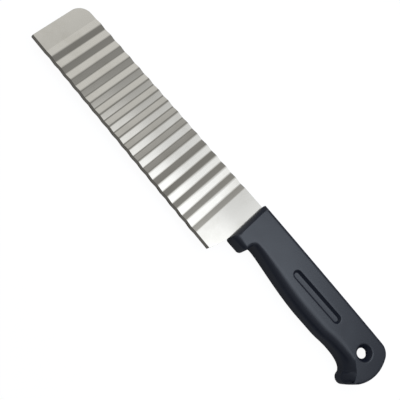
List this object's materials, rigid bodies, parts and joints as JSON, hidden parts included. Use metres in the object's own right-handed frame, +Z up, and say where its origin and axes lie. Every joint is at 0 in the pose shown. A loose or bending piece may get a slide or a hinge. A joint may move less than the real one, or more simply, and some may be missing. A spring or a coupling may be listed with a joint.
{
  "type": "crinkle cutter knife",
  "caption": "Crinkle cutter: corrugated steel blade with a blunt square tip, and a bluish-black moulded grip with a finger guard, hooked butt and hang hole.",
  "frame": {"origin": "under the middle of the knife's box, on the surface that the grip's flat side lies on", "axes": "+X from the blunt tip towards the hooked butt, +Y from the cutting edge towards the straight spine, +Z up, out of the blade's ground face"},
  "size_m": [0.2904, 0.0454, 0.016],
  "materials": {
    "blade_steel": "satin, finely brushed",
    "grip_plastic": "satin, fine moulded grain"
  },
  "bodies": {
    "root": {"blade": "blade_steel", "handle": "grip_plastic"}
  },
  "joints": []
}
